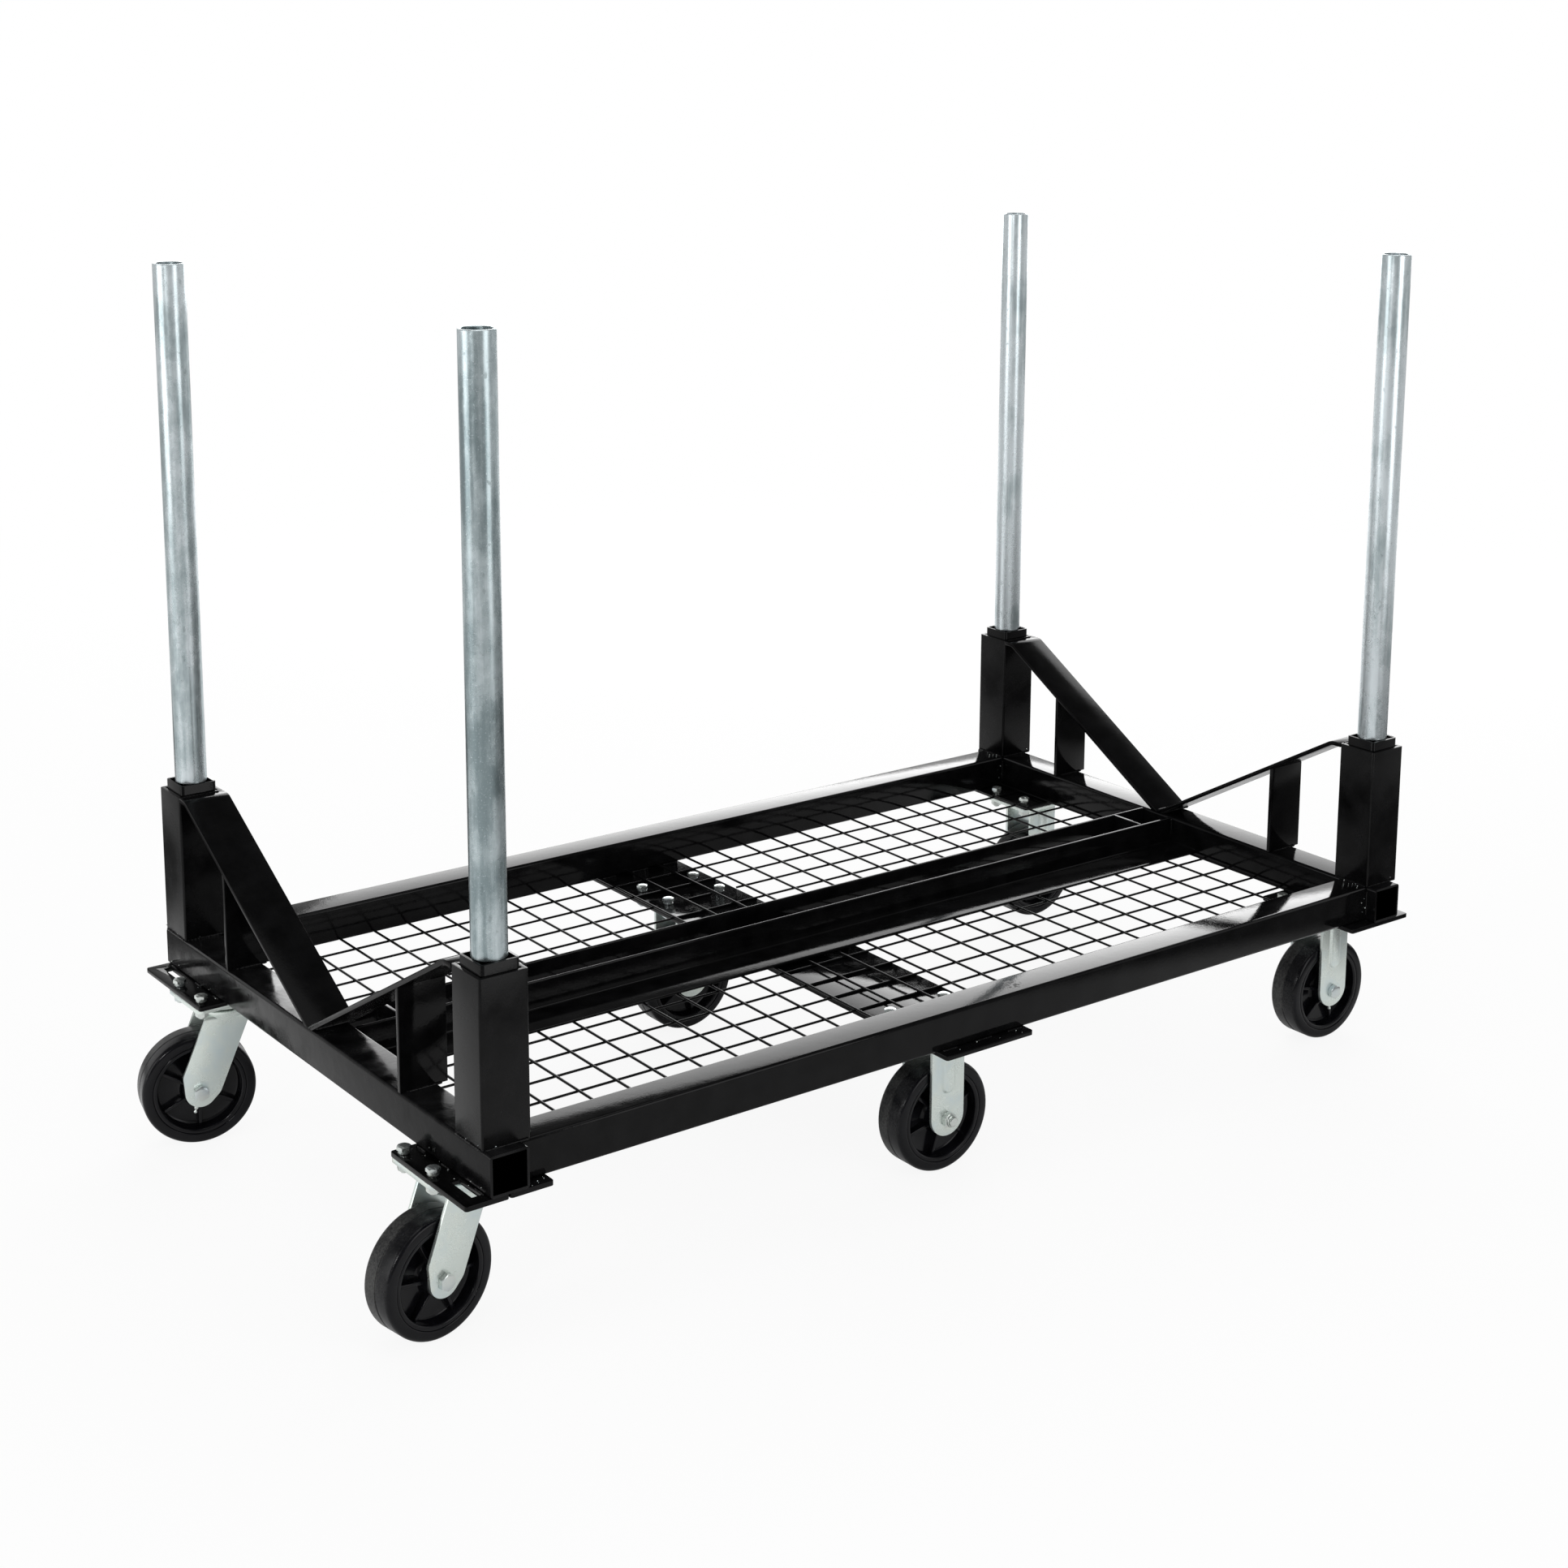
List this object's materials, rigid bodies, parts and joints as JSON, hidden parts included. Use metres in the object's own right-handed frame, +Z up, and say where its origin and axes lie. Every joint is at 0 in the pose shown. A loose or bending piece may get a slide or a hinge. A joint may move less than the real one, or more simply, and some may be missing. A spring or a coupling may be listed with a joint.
{
  "type": "pipe cart",
  "caption": "Flat steel pipe and bar cart on casters, with a mesh bed, V-shaped end cradles and removable upright pipe stakes in its corner posts.",
  "frame": {"origin": "on the floor, below the middle of the whole cart as stored", "axes": "+X along the length towards the rigid casters, -Y the front side seen in the picture, +Z up"},
  "size_m": [1.6554, 0.889, 1.1818],
  "materials": {
    "powder_coat": "gloss black powder coat with fine orange peel",
    "mesh": "gloss black coated wire",
    "galvanised": "mottled galvanised pipe",
    "zinc": "satin zinc plate",
    "tyre": "matt moulded rubber, dusty on the tread",
    "wheel_core": "gloss moulded core"
  },
  "bodies": {
    "frame": {"bed_mesh": "mesh", "caster_bolts": "zinc", "caster_nuts": "zinc", "centre_angle_back": "powder_coat", "centre_angle_front": "powder_coat", "end_tube_left": "powder_coat", "end_tube_right": "powder_coat", "fork_back_mid": "zinc", "fork_back_right": "zinc", "fork_front_mid": "zinc", "fork_front_right": "zinc", "kingpins": "zinc", "left_inner_pads": "powder_coat", "left_outer_pads": "powder_coat", "mid_cross_plate": "powder_coat", "post_back_left": "powder_coat", "post_back_right": "powder_coat", "post_front_left": "powder_coat", "post_front_right": "powder_coat", "right_pads": "powder_coat", "rigid_axle_bolts": "zinc", "rigid_axle_nuts": "zinc", "rigid_bushings": "zinc", "side_tube_back": "powder_coat", "side_tube_front": "powder_coat", "stake_sleeves": "powder_coat", "swivel_plates": "zinc", "swivel_races": "zinc", "trough_spacers": "powder_coat", "v_bar_struts": "powder_coat", "v_bars_left": "powder_coat", "v_bars_right": "powder_coat"},
    "swivel_front_left": {"fork_front_left": "zinc", "axle_bolt_front_left": "zinc", "axle_nut_front_left": "zinc", "bushing_front_left": "zinc"},
    "wheel_front_left": {"tyre_front_left": "tyre", "core_front_left": "wheel_core"},
    "swivel_back_left": {"fork_back_left": "zinc", "axle_bolt_back_left": "zinc", "axle_nut_back_left": "zinc", "bushing_back_left": "zinc"},
    "wheel_back_left": {"tyre_back_left": "tyre", "core_back_left": "wheel_core"},
    "wheel_front_mid": {"tyre_front_mid": "tyre", "core_front_mid": "wheel_core"},
    "wheel_back_mid": {"tyre_back_mid": "tyre", "core_back_mid": "wheel_core"},
    "wheel_front_right": {"tyre_front_right": "tyre", "core_front_right": "wheel_core"},
    "wheel_back_right": {"tyre_back_right": "tyre", "core_back_right": "wheel_core"},
    "stake_front_left": {"stake_front_left": "galvanised"},
    "stake_front_right": {"stake_front_right": "galvanised"},
    "stake_back_left": {"stake_back_left": "galvanised"},
    "stake_back_right": {"stake_back_right": "galvanised"}
  },
  "joints": [
    {"name": "swivel_front_left_turn", "type": "hinge", "parent": "frame", "child": "swivel_front_left", "pos_m": [-0.71014, -0.315, 0.1983], "axis": [0, 0, 1], "continuous": true},
    {"name": "wheel_front_left_spin", "type": "hinge", "parent": "swivel_front_left", "child": "wheel_front_left", "pos_m": [-0.7497, -0.32091, 0.0762], "axis": [-0.1478, 0.989, 0], "continuous": true},
    {"name": "swivel_back_left_turn", "type": "hinge", "parent": "frame", "child": "swivel_back_left", "pos_m": [-0.71014, 0.322, 0.1983], "axis": [0, 0, 1], "continuous": true},
    {"name": "wheel_back_left_spin", "type": "hinge", "parent": "swivel_back_left", "child": "wheel_back_left", "pos_m": [-0.74912, 0.331, 0.0762], "axis": [0.225, 0.9744, 0], "continuous": true},
    {"name": "wheel_front_mid_spin", "type": "hinge", "parent": "frame", "child": "wheel_front_mid", "pos_m": [0.00046, -0.3295, 0.0762], "axis": [0, 1, 0], "continuous": true},
    {"name": "wheel_back_mid_spin", "type": "hinge", "parent": "frame", "child": "wheel_back_mid", "pos_m": [0.00046, 0.268, 0.0762], "axis": [0, 1, 0], "continuous": true},
    {"name": "wheel_front_right_spin", "type": "hinge", "parent": "frame", "child": "wheel_front_right", "pos_m": [0.75146, -0.3295, 0.0762], "axis": [0, 1, 0], "continuous": true},
    {"name": "wheel_back_right_spin", "type": "hinge", "parent": "frame", "child": "wheel_back_right", "pos_m": [0.75146, 0.322, 0.0762], "axis": [0, 1, 0], "continuous": true},
    {"name": "stake_front_left_lift", "type": "slide", "parent": "frame", "child": "stake_front_left", "axis": [0, 0, 1], "range_m": [0, 0.23]},
    {"name": "stake_front_right_lift", "type": "slide", "parent": "frame", "child": "stake_front_right", "axis": [0, 0, 1], "range_m": [0, 0.23]},
    {"name": "stake_back_left_lift", "type": "slide", "parent": "frame", "child": "stake_back_left", "axis": [0, 0, 1], "range_m": [0, 0.23]},
    {"name": "stake_back_right_lift", "type": "slide", "parent": "frame", "child": "stake_back_right", "axis": [0, 0, 1], "range_m": [0, 0.23]}
  ]
}
